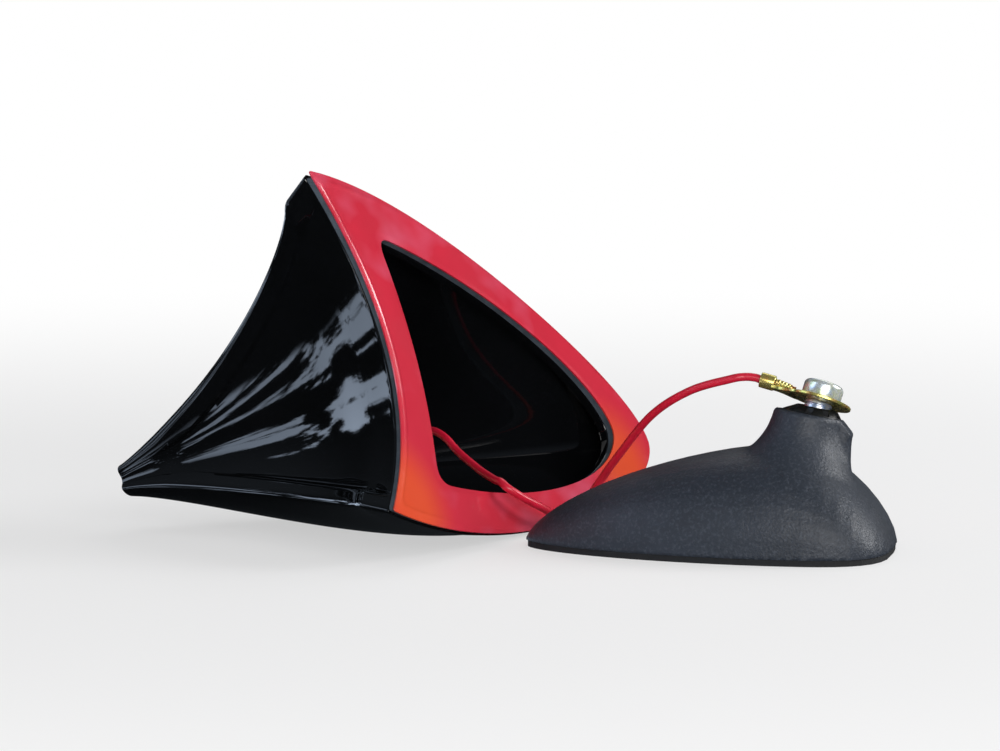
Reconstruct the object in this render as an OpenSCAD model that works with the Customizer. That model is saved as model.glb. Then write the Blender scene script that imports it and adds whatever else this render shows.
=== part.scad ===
// Shark fin aerial: a hollow gloss cover lying on its side with its adhesive pad showing,
// joined by a single wire to the moulded roof base that it is made to cover.

/* [Fin cover] */
// Length of the cover from its rear corners to its nose
fin_length = 118; // [106:1:130]
// Width of the cover across its rear corners
fin_width = 71; // [64:1:78]
// Height of the fin tip above the pad face
fin_height = 65.4; // [59:0.2:72]
// Wall of the cover
shell_wall = 2.4; // [1.8:0.1:3]
// Depth of the hollow curve in the rear edge
rear_hollow = 14.4; // [8:0.2:18]
// How far the rear edge leans forward at the tip
tip_lean = 16.8; // [12:0.2:24]
// Length of the blunt tip
tip_length = 8.2; // [6:0.2:11]
// Width of the blunt tip
tip_width = 4.4; // [3:0.2:6]
// Height of the upright rim round the foot of the cover
rim_height = 6; // [4:0.5:8]
// Width of the raised band down each side of the rear face
band_width = 2.2; // [1.4:0.1:3]
// Depth that the rear face is set in behind its bands
band_step = 0.8; // [0.4:0.1:1.2]
// Length that is cut off each rear corner by its rounding
corner_cut = 2.4; // [1.2:0.2:4]
// Thickness of the inward flange that carries the pad
flange_thickness = 2; // [1.5:0.1:3]

/* [Adhesive pad] */
// Distance from the rear corners to the rear edge of the opening
opening_rear = 20.6; // [18:0.2:23]
// Distance from the rear corners to the front edge of the opening
opening_front = 103; // [97:0.5:105]
// Width of the opening at its rear corners
opening_width = 52.6; // [46:0.2:54]
// Depth of the curve in the rear edge of the opening
opening_hollow = 4; // [2:0.5:6]
// Length that is cut off each rear corner of the opening by its rounding
opening_cut = 4; // [2:0.5:6]
// Thickness of the foam
foam_thickness = 1.2; // [0.8:0.1:2]
// Thickness of the release liner
liner_thickness = 0.3; // [0.2:0.05:0.5]
// Inset of the pad from the edge of the cover
pad_inset = 0.4; // [0.2:0.1:1]

/* [Roof base] */
// Length of the base
base_length = 72; // [67:0.2:79]
// Width of the base
base_width = 41; // [37:1:45]
// Height of the domed body
dome_height = 21; // [19:0.2:23]
// Share of the length from the nose to the highest point of the dome
crest_share = 0.72; // [0.66:0.01:0.76]
// Thickness of the rubber gasket
gasket_thickness = 1.2; // [0.8:0.1:2]
// Width of the gasket
gasket_width = 5; // [4:0.5:6]
// Thickness of the cast plate
plate_thickness = 4; // [3:0.2:5]
// Recess of the cast plate above the gasket's lower face
plate_recess = 0.6; // [0.4:0.1:1]
// Tapping radius of the fixing thread in the cast plate
fixing_radius = 2.5; // [2:0.1:3]
// Depth of the fixing thread
fixing_depth = 10; // [8:0.5:11]
// Radius of the boss on the cast plate round the fixing thread
fixing_boss = 5.5; // [4.5:0.1:7]

/* [Mast seat] */
// Distance from the nose of the base to the middle of the mast seat
seat_station = 55.2; // [54:0.1:57]
// Height of the middle of the mast seat
seat_height = 27; // [26:0.1:28.5]
// Lean of the mast seat towards the rear
seat_lean = 10.5; // [8:0.5:14]
// Tilt of the mast seat to one side
seat_tilt = 6; // [0:0.5:8]
// Radius of the mast seat
seat_radius = 6.7; // [6.5:0.1:7.2]
// Radius of the locking collar at its foot
collar_radius = 5.8; // [5.3:0.1:5.9]
// Height of the locking collar
collar_height = 1.5; // [1.2:0.1:1.6]
// Number of locking slots round the collar
collar_slots = 9; // [6:1:12]
// Width of a locking slot
slot_width = 1.3; // [0.9:0.1:1.6]
// Distance from the middle of the seat to the outer face of the rib behind it
rib_reach = 8.5; // [8.2:0.1:9]
// Width of the rib
rib_width = 4.4; // [3:0.2:6]
// Lean of the threaded insert beyond the seat's own
insert_lean = 4.5; // [3:0.5:7]
// Tilt of the threaded insert beyond the seat's own
insert_tilt = 12; // [8:0.5:12]
// Distance of the insert behind the middle of the seat
insert_offset = 1.4; // [1:0.1:1.5]
// Radius of the threaded insert
insert_radius = 2.7; // [2.5:0.1:3.2]
// Height of the insert above the seat
insert_rise = 2.5; // [2.5:0.1:3.2]
// Depth of the insert below the seat
insert_depth = 9; // [7:0.5:11]

/* [Wire and terminal] */
// Diameter of the insulated wire
wire_diameter = 1.6; // [1.4:0.1:1.8]
// Radius of the ring terminal
ring_radius = 6.2; // [5.6:0.1:7]
// Thickness of the terminal's sheet
ring_sheet = 0.6; // [0.5:0.05:0.8]
// Distance from the screw to the outer end of the terminal
terminal_reach = 12.2; // [12:0.1:14]
// Radius of the crimp that grips the insulation
grip_radius = 1.5; // [1.2:0.1:1.7]
// Length of each of the two crimps
grip_length = 2.9; // [2.4:0.1:3.1]
// Radius of the bare strands
core_radius = 0.5; // [0.4:0.05:0.6]
// Radius of the screw thread
screw_radius = 2; // [1.8:0.1:2.1]
// Length of the screw below the terminal
screw_length = 9; // [7:0.5:10]
// Radius of the screw head
head_radius = 3.9; // [3.4:0.1:4.2]
// Height of the screw head
head_height = 3.6; // [2.8:0.1:4]

/* [Aerial element] */
// Width of the copper strip
strip_width = 6; // [5:0.5:8]
// Length of the copper strip
strip_length = 27; // [22:1:30]
// Thickness of the copper strip
strip_thickness = 0.8; // [0.5:0.1:1]

/* [Pose of the cover] */
// Turn of the cover about its own length
fin_roll = -115.4; // [-118:0.2:-112]
// Dip of the nose
fin_dip = 15.8; // [14:0.2:17]
// Turn of the cover on the ground
fin_turn = 58.5; // [56:0.5:62]
// Turn of the base on the ground
base_turn = -10; // [-14:1:-6]

/* [Hidden] */
$fn = 48;

// Places on the ground
fin_at = [-30.23, -41.251, 41.831];
base_nose = [4.57, -23.451, 0];

// Steps of the moulded shapes
side_steps = 14;
rear_steps = 12;
corner_steps = 3;
level_steps = 14;
dome_steps = 26;
arch_steps = 20;

// Powers of the curves
side_power = 1.47;
side_fall = 0.59;
opening_power = 1.65;
edge_power = 1.23;
ridge_power = 0.91;
lean_power = 0.73;
lean_share = 0.76;
nose_power = 1.7;
tail_power = 3.2;
crest_power = 1.55;
arch_power = 2.4;

// Bulge of the cover's sides, as a share of the half width, at its foot and at its tip
foot_bulge = 0.07;
tip_bulge = 0.5;

// Fits
fit_gap = 0.1;
running_gap = 0.05;

// Cover sections
function half_outline(s, power) = pow(1 - pow(s, power), side_fall);
function bump(s) = 6.75 * s * pow(1 - s, 2);
function bulge_at(z) = foot_bulge + tip_bulge * z / fin_height;
function edge_half(z) = tip_width / 2
    + (fin_width - tip_width) / 2 * pow(1 - z / fin_height, edge_power);
function lean_span() = lean_share * fin_height - rim_height;
function edge_x(z) = z <= rim_height ? 0
    : tip_lean * sin(90 * pow(min(1, (z - rim_height) / lean_span()), lean_power));
function ridge_x(z) = tip_lean + tip_length
    + (fin_length - tip_lean - tip_length) * pow(1 - z / fin_height, ridge_power);
function hollow_at(z) = rear_hollow * edge_half(z) / edge_half(0);

// One closed section: left rear corner, left side to the nose, right side back, right rear
// corner, then the hollow rear edge between its two raised bands
band_blend = 0.04;
function bend(from, corner, to, t) = pow(1 - t, 2) * from + 2 * t * (1 - t) * corner + t * t * to;
function side_share(k, first) = first + (1 - first) * (1 - pow(1 - k / side_steps, 1.5));
function rear_share(k, outer, inner) = k == 0 ? -inner : k == rear_steps ? inner
    : (inner - band_blend) * (2 * (k - 1) / (rear_steps - 2) - 1);
function section(tail, nose, half, hollow, cut, band, step, power, bulge) =
    let (c = min(cut, 0.3 * half), first = c / (nose - tail),
        outer = 1 - c / half, inner = outer - min(band / half, 0.35 * outer),
        side = function(s, way) [tail + (nose - tail) * s,
            way * half * (half_outline(s, power) + bulge * bump(s))],
        rear = function(v) [tail + hollow * (1 - v * v), half * v])
    concat(
        [for (k = [0:corner_steps - 1])
            bend(rear(outer), [tail, half], side(first, 1), k / corner_steps)],
        [for (k = [0:side_steps]) side(side_share(k, first), 1)],
        [for (k = [side_steps - 1:-1:0]) side(side_share(k, first), -1)],
        [for (k = [1:corner_steps])
            bend(side(first, -1), [tail, -half], rear(-outer), k / corner_steps)],
        [for (k = [0:rear_steps]) rear(rear_share(k, outer, inner))
            + [k == 0 || k == rear_steps ? 0 : step, 0]]);
function raised(points, z) = [for (p = points) [p[0], p[1], z]];
function outer_section(z) = section(edge_x(z), ridge_x(z), edge_half(z), hollow_at(z), corner_cut,
    band_width, band_step * min(1, z / rim_height), side_power, bulge_at(z));
ridge_wall = 1.8 * shell_wall;
inner_hollow = 0.95;
function inner_section(z, gap = 0) = section(edge_x(z) + shell_wall + band_step + 3 * gap,
    ridge_x(z) - ridge_wall - gap, edge_half(z) - shell_wall - gap, hollow_at(z) * inner_hollow,
    corner_cut, band_width, 0, side_power, bulge_at(z));
function opening_section() = section(opening_rear, opening_front, opening_width / 2,
    opening_hollow, opening_cut, band_width, 0, opening_power, 0);
function pad_section() = section(pad_inset, fin_length - pad_inset, fin_width / 2 - pad_inset,
    rear_hollow, corner_cut, band_width, 0, side_power, foot_bulge);

// Levels of the cover, close together at the rim
cavity_share = 0.8;
cavity_top = fin_height * cavity_share;
function outer_level(k) = k <= 2 ? rim_height * k / 2
    : rim_height + (fin_height - rim_height) * (k - 2) / (level_steps - 2);
function inner_level(k) = flange_thickness + (cavity_top - flange_thickness) * k / (level_steps - 2);

// Skin over a stack of equal rings, closed by a flat cap at each end
function skin_faces(n, m) = concat(
    [[for (i = [n - 1:-1:0]) i]],
    [for (r = [0:m - 2]) for (i = [0:n - 1]) for (half = [0, 1]) let (j = (i + 1) % n)
        half == 0 ? [r * n + i, r * n + j, (r + 1) * n + j]
        : [r * n + i, (r + 1) * n + j, (r + 1) * n + i]],
    [[for (i = [0:n - 1]) (m - 1) * n + i]]);
module skin(rings) {
    polyhedron(points = [for (ring = rings) for (p = ring) p],
        faces = skin_faces(len(rings[0]), len(rings)), convexity = 10);
}

// Places
module fin_pose() {
    translate(fin_at) rotate([fin_roll, fin_dip, fin_turn]) children();
}
module base_pose() {
    translate(base_nose) rotate([0, 0, base_turn]) children();
}
module seat_pose() {
    base_pose() translate([seat_station, 0, seat_height]) rotate([-seat_tilt, seat_lean, 0]) children();
}
module insert_pose() {
    seat_pose() translate([insert_offset, 0, 0]) rotate([-insert_tilt, insert_lean, 0]) children();
}

// Hollow gloss cover with an inward flange at its foot
module fin_shell() {
    color("#101114") fin_pose() skin(concat(
        [for (k = [level_steps - 2:-1:0]) raised(inner_section(inner_level(k)), inner_level(k))],
        [raised(opening_section(), flange_thickness), raised(opening_section(), 0)],
        [for (k = [0:level_steps]) raised(outer_section(outer_level(k)), outer_level(k))]));
}

// Flat frame of the pad's outline
module pad_frame() {
    difference() {
        polygon(pad_section());
        polygon(opening_section());
    }
}
module foam_pad() {
    color("#5b6a78") fin_pose() translate([0, 0, -foam_thickness])
        linear_extrude(foam_thickness) pad_frame();
}
module pad_liner() {
    color("#d2232f") fin_pose() translate([0, 0, -foam_thickness - liner_thickness])
        linear_extrude(liner_thickness) pad_frame();
}

// Copper strip that stands in the middle of the cover and follows its ridge
strip_foot = [57.5, 0, 24];
strip_rise = 54;
module strip_body() {
    translate(strip_foot) rotate([0, 180 + strip_rise, 0])
        translate([0, -strip_thickness / 2, -strip_width / 2])
            cube([strip_length, strip_thickness, strip_width]);
}
module aerial_strip() {
    color("#b8733c") fin_pose() strip_body();
}

// Plug of hot glue that holds the top of the strip in the tip of the cover
glue_levels = 3;
glue_gap = 0.3;
module strip_glue() {
    color("#d9cfa8") fin_pose() difference() {
        skin([for (k = [level_steps - 2 - glue_levels:level_steps - 2])
            let (gap = k == level_steps - 2 ? glue_gap : 0)
            raised(inner_section(inner_level(k), glue_gap), inner_level(k) - gap)]);
        strip_body();
    }
}

// Solder joint between the wire and the foot of the strip
solder_radius = 1.5;
solder_height = 1.2;
module strip_solder() {
    color("#b9bcc0") fin_pose() translate(strip_foot) rotate([-90, 0, 0])
        translate([0, 0, strip_thickness / 2]) rotate_extrude() polygon([[0, 0], [solder_radius, 0],
            [solder_radius * 0.8, solder_height * 0.6], [0, solder_height]]);
}

// Route of the wire from the terminal to the strip
wire_route = [[49.7, -30.2, 33.3], [48.7, -30, 33.6], [46.7, -29.7, 33.7], [43.9, -29.3, 33.2],
    [36.3, -25.5, 30.5], [29.1, -19, 25], [22.7, -11.5, 16], [18.6, -7, 9.5], [17.1, -5.7, 7.1],
    [14.3, -5.5, 4.5],
    [11.7, -7.5, 3.8], [9.7, -10.5, 4.5], [7.9, -13.3, 5.9], [5.8, -15.7, 7.3], [3.8, -17.4, 8.6],
    [2.1, -18.4, 9.8], [0.8, -18.5, 10.7], [-0.4, -17.3, 11.6], [-1.8, -14.6, 11.8],
    [-4.6, -7.3, 12.7], [-8.6, 1.6, 14.9], [-11.6, 6.3, 17.5], [-14.4, 10.2, 18.3],
    [-15.9, 11.9, 15.9], [-18.5, 12.8, 14.9], [-20.4, 13.7, 14.3]];
route_steps = 3;
wire_sides = 8;
function unit(v) = v / norm(v);
function route_point(k) = wire_route[max(0, min(len(wire_route) - 1, k))];
function spline(a, b, c, d, t) = 0.5 * (2 * b + (c - a) * t + (2 * a - 5 * b + 4 * c - d) * t * t
    + (3 * b - a - 3 * c + d) * t * t * t);
wire_path = concat([for (k = [0:len(wire_route) - 2]) for (j = [0:route_steps - 1])
    spline(route_point(k - 1), route_point(k), route_point(k + 1), route_point(k + 2), j / route_steps)],
    [route_point(len(wire_route) - 1)]);
function path_way(k) = unit(wire_path[min(k + 1, len(wire_path) - 1)] - wire_path[max(k - 1, 0)]);
function wire_ring(k) = let (side = unit(cross(path_way(k), [0, 0, 1])), rise = cross(side, path_way(k)))
    [for (i = [0:wire_sides - 1]) wire_path[k]
        + wire_diameter / 2 * (cos(360 * i / wire_sides) * side + sin(360 * i / wire_sides) * rise)];
module aerial_wire() {
    color("#c8102e") skin([for (k = [0:len(wire_path) - 1]) wire_ring(k)]);
}

// Ring terminal: ring, tapered neck and two crimps from one sheet
neck_foot = 4;
neck_inset = 2;
neck_end = 1.3;
crimp_gap = 0.6;
lobe_radius = 0.85;
lobe_spread = 0.6;
core_height = ring_sheet + core_radius + running_gap;
inner_crimp = terminal_reach - grip_length - crimp_gap;
module grip_bore() {
    translate([0, 0, -1]) cylinder(r = core_radius + running_gap / 2, h = 2 * terminal_reach);
}
module ring_terminal() {
    color("#b69a55") insert_pose() translate([0, 0, insert_rise]) {
        linear_extrude(ring_sheet) difference() {
            union() {
                circle(r = ring_radius);
                polygon([[neck_inset - ring_radius, neck_foot], [neck_inset - ring_radius, -neck_foot],
                    [-inner_crimp, -neck_end], [-inner_crimp, neck_end]]);
                translate([-inner_crimp - crimp_gap, -neck_end]) square([crimp_gap, 2 * neck_end]);
            }
            circle(r = screw_radius + 2 * running_gap);
        }
        translate([-terminal_reach, 0, core_height]) rotate([0, 90, 0]) difference() {
            cylinder(r = grip_radius, h = grip_length);
            grip_bore();
        }
        translate([-inner_crimp, 0, core_height]) rotate([0, 90, 0]) difference() {
            linear_extrude(grip_length) {
                for (way = [-1, 1]) translate([-lobe_radius / 2, way * lobe_spread])
                    circle(r = lobe_radius);
                translate([-lobe_radius / 2, -neck_end])
                    square([core_height + lobe_radius / 2, 2 * neck_end]);
            }
            grip_bore();
        }
    }
}

// Bare strands that pass through both crimps
core_end = 0.7;
module wire_core() {
    color("#c98345") insert_pose() translate([-terminal_reach, 0, insert_rise + core_height])
        rotate([0, 90, 0]) cylinder(r = core_radius, h = 2 * grip_length + crimp_gap + core_end);
}

// Screw with a domed head and a cross recess
thread_lead = 0.6;
head_side = 2;
head_flat = 0.4;
recess_width = 0.8;
recess_depth = 1.3;
module clamp_screw() {
    color("#c9b26a") insert_pose() translate([0, 0, insert_rise + ring_sheet]) difference() {
        rotate_extrude() polygon(concat(
            [[0, -screw_length - ring_sheet], [screw_radius - thread_lead, -screw_length - ring_sheet],
             [screw_radius, thread_lead - screw_length - ring_sheet], [screw_radius, 0], [head_radius, 0]],
            [for (a = [0:15:90]) [head_radius * (head_flat + (1 - head_flat) * cos(a)),
                head_side + (head_height - head_side) * sin(a)]],
            [[0, head_height]]));
        for (turn = [0, 90]) rotate(turn)
            translate([-head_radius / 2, -recess_width / 2, head_height - recess_depth])
                cube([head_radius, recess_width, 2 * recess_depth]);
    }
}

// Metal insert that the mast or the screw threads into
module mast_insert() {
    color("#a9adb2") insert_pose() rotate_extrude() polygon([
        [screw_radius + running_gap, -insert_depth], [insert_radius, -insert_depth],
        [insert_radius, insert_rise - thread_lead], [insert_radius - thread_lead / 2, insert_rise],
        [screw_radius + running_gap, insert_rise]]);
}

// Base sections
function station(k) = base_length * (1 - cos(180 * k / dome_steps)) / 2;
crest_at = base_length * crest_share;
function reach(x) = x < crest_at ? 1 - x / crest_at : (x - crest_at) / (base_length - crest_at);
function base_half(x) = let (p = x < crest_at ? nose_power : tail_power)
    base_width / 2 * pow(max(0.0004, 1 - pow(reach(x), p)), 1 / p);
function crest(x) = (dome_height - gasket_thickness)
    * pow(max(0.002, 1 - pow(reach(x), crest_power)), 1 / crest_power);
function arch(x) = [for (i = [0:arch_steps]) let (a = 180 - 180 * i / arch_steps, c = cos(a))
    [x, base_half(x) * sign(c) * pow(abs(c), 2 / arch_power),
     gasket_thickness + crest(x) * pow(max(0, sin(a)), 2 / arch_power)]];
function footprint(inset) = concat(
    [for (k = [0:dome_steps]) [foot_x(k, inset), foot_y(k, inset)]],
    [for (k = [dome_steps - 1:-1:1]) [foot_x(k, inset), -foot_y(k, inset)]]);
function foot_x(k, inset) = inset + station(k) * (base_length - 2 * inset) / base_length;
function foot_y(k, inset) = base_half(station(k)) * (base_width - 2 * inset) / base_width;

// Mast seat: a flared boss, a slotted locking collar and a rib behind
flare_depth = 10;
flare_reach = 4.2;
flare_power = 1.9;
flare_steps = 8;
seat_root = 13;
rim_bevel = 0.4;
collar_offset = 0.7;
collar_top = 3.8;
slot_root = 4.1;
slot_floor = 0.2;
rib_drop = 3.7;
rib_taper = 0.4;
rib_bevel = [0.7, 0.8];
rib_shoulder = [2.1, 2.6];
module seat_boss() {
    rotate_extrude() polygon(concat([[0, -seat_root], [seat_radius + flare_reach, -seat_root]],
        [for (k = [flare_steps:-1:0]) let (w = k / flare_steps)
            [seat_radius + flare_reach * pow(w, flare_power), -rim_bevel - (flare_depth - rim_bevel) * w]],
        [[seat_radius - rim_bevel, 0], [0, 0]]));
}
module collar_cuts() {
    for (k = [0:collar_slots - 1]) rotate(360 * (k + 0.5) / collar_slots)
        translate([slot_root, -slot_width / 2, slot_floor])
            cube([2 * collar_radius, slot_width, collar_height]);
}
module seat_collar() {
    difference() {
        hull() {
            translate([collar_offset, 0, -rim_bevel]) cylinder(r = collar_radius, h = rim_bevel);
            translate([insert_offset, 0, 0]) cylinder(r = collar_top, h = collar_height);
        }
        translate([insert_offset, 0, 0]) collar_cuts();
    }
}
module seat_rib() {
    top = seat_height - rib_drop;
    foot = gasket_thickness + plate_thickness;
    translate([seat_station, rib_width / 2, 0]) rotate([90, 0, 0]) linear_extrude(rib_width)
        polygon([[0, foot], [rib_reach - rib_taper, foot], [rib_reach - rib_taper, (foot + top) / 2],
            [rib_reach, top], [rib_reach - rib_bevel[0], top + rib_bevel[1]],
            [rib_reach - rib_shoulder[0], top + rib_shoulder[1]], [0, top + rib_shoulder[1]]]);
}

// Moulded body of the base
module base_housing() {
    color("#1b1c1e") difference() {
        union() {
            base_pose() {
                skin([for (k = [0:dome_steps]) arch(station(k))]);
                seat_rib();
            }
            seat_pose() {
                seat_boss();
                seat_collar();
            }
        }
        insert_pose() translate([0, 0, -insert_depth])
            cylinder(r = insert_radius, h = insert_depth + 2 * collar_height);
        base_pose() {
            linear_extrude(plate_recess + plate_thickness + fit_gap) polygon(footprint(gasket_width));
            translate([fixing_station, 0, 0])
                cylinder(r = fixing_boss + fit_gap,
                    h = plate_recess + fixing_depth + boss_cap + boss_clearance);
        }
    }
}

// Cast plate with the thread that the roof bolt pulls on
fixing_station = 34;
boss_cap = 1.5;
boss_clearance = 0.5;
module base_plate() {
    color("#8d9095") base_pose() translate([0, 0, plate_recess]) difference() {
        union() {
            linear_extrude(plate_thickness) polygon(footprint(gasket_width + fit_gap));
            translate([fixing_station, 0, 0]) cylinder(r = fixing_boss, h = fixing_depth + boss_cap);
        }
        translate([fixing_station, 0, -1]) cylinder(r = fixing_radius, h = fixing_depth + 1);
    }
}

// Rubber gasket under the rim of the base
gasket_inset = 0.3;
module base_gasket() {
    color("#26282a") base_pose() linear_extrude(gasket_thickness) difference() {
        polygon(footprint(gasket_inset));
        polygon(footprint(gasket_width));
    }
}

fin_shell();
foam_pad();
pad_liner();
aerial_strip();
strip_glue();
strip_solder();
aerial_wire();
wire_core();
ring_terminal();
clamp_screw();
mast_insert();
base_housing();
base_plate();
base_gasket();
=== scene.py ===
"""Looks of a stick-on shark fin aerial: its gloss cover lies open beside the roof base it is wired to."""

from __future__ import annotations

import logging
import math
from dataclasses import dataclass, field
from enum import Enum
from typing import Callable, Sequence

import bpy
from mathutils import Euler, Matrix, Vector

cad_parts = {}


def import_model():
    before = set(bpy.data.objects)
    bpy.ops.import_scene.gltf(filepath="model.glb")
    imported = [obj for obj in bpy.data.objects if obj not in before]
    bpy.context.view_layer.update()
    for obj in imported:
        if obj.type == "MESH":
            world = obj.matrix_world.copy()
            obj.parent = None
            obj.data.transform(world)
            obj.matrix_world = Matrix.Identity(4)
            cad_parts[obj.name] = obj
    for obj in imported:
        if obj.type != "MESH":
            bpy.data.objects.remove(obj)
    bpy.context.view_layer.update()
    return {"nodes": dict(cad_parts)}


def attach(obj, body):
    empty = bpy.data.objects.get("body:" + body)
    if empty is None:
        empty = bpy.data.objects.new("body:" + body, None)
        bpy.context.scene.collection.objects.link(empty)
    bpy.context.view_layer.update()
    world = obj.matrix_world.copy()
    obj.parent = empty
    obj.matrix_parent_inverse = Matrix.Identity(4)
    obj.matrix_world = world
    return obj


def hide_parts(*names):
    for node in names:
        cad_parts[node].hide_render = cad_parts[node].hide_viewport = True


LOG = logging.getLogger("aerial")
MM = 0.001
BODY = "root"
WELD = 1e-7

# Inputs of a Map Range node
FROM_LOW, FROM_HIGH, TO_LOW, TO_HIGH = 1, 2, 3, 4
# Inputs and output of a Mix node that mixes colours
FIRST, SECOND, MIXED = 6, 7, 2

Socket = bpy.types.NodeSocket
Piece = bpy.types.Object
Pair = tuple[float, float]
Point = tuple[float, float, float]
Ring = list[Point]


class Slot(Enum):
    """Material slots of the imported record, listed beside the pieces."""

    COVER = "cover_gloss"
    FOAM = "foam"
    LINER = "liner"
    COPPER = "copper"
    GLUE = "hot_glue"
    SOLDER = "solder"
    WIRE = "wire_insulation"
    ZINC = "zinc_yellow"
    INSERT = "insert_steel"
    BASE = "base_black"
    CAST = "cast_zinc"
    GASKET = "gasket_rubber"


def linear(code: str) -> tuple[float, float, float, float]:
    """Turns an sRGB hex colour into a linear colour.

    Args:
        code: The colour, such as "#1b1c1e".

    Returns:
        Red, green and blue in linear light, and an alpha of 1.
    """
    parts = [int(code[i : i + 2], 16) / 255 for i in (1, 3, 5)]
    red, green, blue = (c / 12.92 if c <= 0.04045 else ((c + 0.055) / 1.055) ** 2.4 for c in parts)
    return (red, green, blue, 1.0)


def scale_for(size_mm: float) -> float:
    """Gives the texture scale at which a pattern's features measure about the given size.

    Args:
        size_mm: The feature's real size in millimetres.

    Returns:
        The scale for a texture that reads object coordinates in metres.
    """
    return 1 / (size_mm * MM)


def pose(shift: Sequence[float], turn: Sequence[float]) -> Matrix:
    """Gives the matrix of a shift in millimetres after a turn in degrees about x, y and z."""
    return Matrix.Translation(shift) @ Euler([math.radians(a) for a in turn], "XYZ").to_matrix().to_4x4()


def smooth(t: float) -> float:
    """Eases from 0 to 1 with level ends."""
    t = min(1.0, max(0.0, t))
    return t * t * (3 - 2 * t)


def spread(low: float, high: float, count: int) -> list[float]:
    """Gives evenly spaced values with both ends."""
    return [low + (high - low) * k / (count - 1) for k in range(count)]


@dataclass
class Recipe:
    """The node tree of a material or a world being made, with its shader."""

    tree: bpy.types.NodeTree
    shader: bpy.types.Node

    def add(self, kind: str, settings: dict | None = None, **links: object) -> bpy.types.Node:
        """Adds a node, sets its values and links its inputs.

        Args:
            kind: The node's type.
            settings: Properties of the node, or values of its inputs by name or number.
            links: Inputs by name, with underscores for spaces, or n_ and a number, and what feeds them.

        Returns:
            The new node.
        """
        node = self.tree.nodes.new(kind)
        for key, value in (settings or {}).items():
            if isinstance(key, str) and hasattr(node, key):
                setattr(node, key, value)
            else:
                node.inputs[key].default_value = value
        for key, socket in links.items():
            name = int(key[2:]) if key.startswith("n_") else key.replace("_", " ")
            self.tree.links.new(socket, node.inputs[name])
        return node

    def place(self) -> Socket:
        """Gives the object coordinates of the surface."""
        return self.add("ShaderNodeTexCoord").outputs["Object"]

    def feed(self, name: str, socket: Socket) -> None:
        """Links a socket to one of the shader's inputs."""
        self.tree.links.new(socket, self.shader.inputs[name])


@dataclass(frozen=True)
class Finish:
    """A surface with broad shifts of tone, a varied sheen and a fine relief.

    The tone drifts between two colours in patches, the roughness varies with them, and the relief is a
    fine noise. Special finishes change the detail. A method's recipe is the material being made, and what
    it returns is the socket that gives the value.
    """

    name: str
    colour: str
    second: str
    roughness: float
    metallic: float = 0.0
    patch_mm: float = 9.0
    grain_mm: float = 0.6
    relief_mm: float = 0.01
    sheen_spread: float = 0.06
    settings: dict = field(default_factory=dict)
    fine_detail: float = 2
    falloff: float = 0.55
    tone_limits: Pair = (0.35, 0.65)
    sheen_limits: Pair = (0.3, 0.7)
    least_roughness: float = 0.02

    def make(self) -> bpy.types.Material:
        """Builds the material.

        Returns:
            The finished material.
        """
        material = bpy.data.materials.new(self.name)
        material.use_nodes = True
        tree = material.node_tree
        shader = next(n for n in tree.nodes if n.type == "BSDF_PRINCIPLED")
        shader.inputs["Metallic"].default_value = self.metallic
        for key, value in self.settings.items():
            shader.inputs[key].default_value = value
        material.diffuse_color = linear(self.colour)
        recipe = Recipe(tree, shader)
        recipe.feed("Base Color", self.tone(recipe))
        recipe.feed("Roughness", self.sheen(recipe))
        recipe.feed("Normal", self.relief(recipe))
        return material

    def patches(self, recipe: Recipe, size_mm: float, detail: float = 3) -> Socket:
        """Gives a soft noise whose features have the given size."""
        settings = {"Scale": scale_for(size_mm), "Detail": detail, "Roughness": self.falloff}
        return recipe.add("ShaderNodeTexNoise", settings, Vector=recipe.place()).outputs[0]

    def tone(self, recipe: Recipe) -> Socket:
        """Gives the colour, drifting between the two tones.

        Args:
            recipe: The material being made.

        Returns:
            The colour.
        """
        limits = dict(zip((FROM_LOW, FROM_HIGH), self.tone_limits))
        patches = self.patches(recipe, self.patch_mm)
        share = recipe.add("ShaderNodeMapRange", limits, Value=patches).outputs[0]
        return self.mixed(recipe, share, linear(self.colour), linear(self.second))

    def mixed(self, recipe: Recipe, share: Socket, first: object, second: object) -> Socket:
        """Mixes two colours.

        Args:
            recipe: The material being made.
            share: The second colour's share.
            first: The first colour, as a plain colour or a socket.
            second: The second colour, as a plain colour or a socket.

        Returns:
            The mixed colour.
        """
        node = recipe.add("ShaderNodeMix", {"data_type": "RGBA"}, n_0=share)
        for number, value in ((FIRST, first), (SECOND, second)):
            if isinstance(value, Socket):
                recipe.tree.links.new(value, node.inputs[number])
            else:
                node.inputs[number].default_value = value
        return node.outputs[MIXED]

    def sheen(self, recipe: Recipe) -> Socket:
        """Gives the roughness, a little varied over the surface.

        Args:
            recipe: The material being made.

        Returns:
            The roughness.
        """
        least, most = (self.roughness + way * self.sheen_spread / 2 for way in (-1, 1))
        limits = dict(zip((FROM_LOW, FROM_HIGH), self.sheen_limits))
        limits |= {TO_LOW: max(self.least_roughness, least), TO_HIGH: most}
        noise = self.patches(recipe, self.patch_mm / 2)
        return recipe.add("ShaderNodeMapRange", limits, Value=noise).outputs[0]

    def relief(self, recipe: Recipe) -> Socket:
        """Gives the fine relief as a bumped normal.

        Args:
            recipe: The material being made.

        Returns:
            The normal.
        """
        depth = {"Strength": 1, "Distance": self.relief_mm * MM}
        noise = self.patches(recipe, self.grain_mm, self.fine_detail)
        return recipe.add("ShaderNodeBump", depth, Height=noise).outputs[0]


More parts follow.
